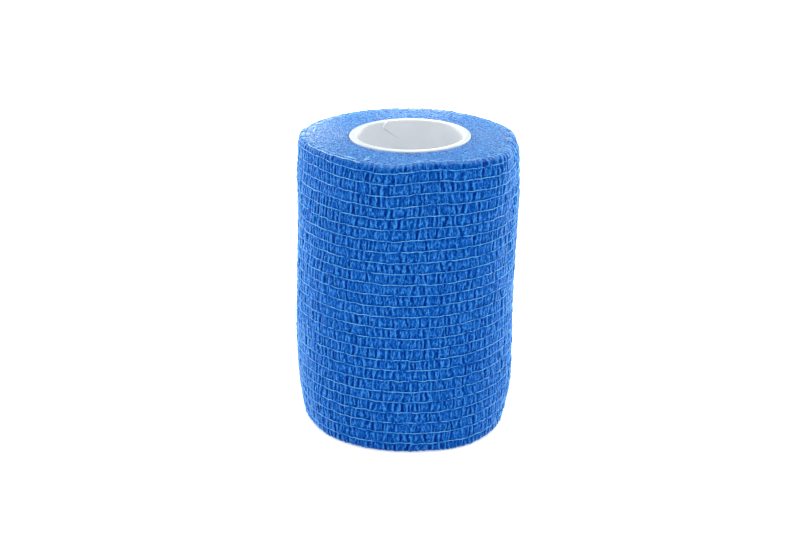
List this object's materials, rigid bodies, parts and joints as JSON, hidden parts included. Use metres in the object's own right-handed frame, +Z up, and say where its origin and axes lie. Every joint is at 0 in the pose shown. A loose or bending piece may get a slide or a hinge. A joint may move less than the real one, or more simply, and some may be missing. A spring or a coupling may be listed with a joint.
{
  "type": "cohesive bandage roll",
  "caption": "Roll of crinkled blue elastic self-adhering bandage, wound on a white plastic core and standing on its end.",
  "frame": {"origin": "on the roll's axis, at the level of the surface that the roll stands on", "axes": "+Z up along the roll's axis, -Y towards the front that the picture shows, +X to the right seen from there"},
  "size_m": [0.0576, 0.056, 0.075],
  "materials": {
    "bandage_cloth": "crinkled nonwoven with pale blue elastic threads, matt",
    "core_plastic": "smooth white, satin"
  },
  "bodies": {
    "root": {"bandage": "bandage_cloth", "core": "core_plastic"}
  },
  "joints": []
}
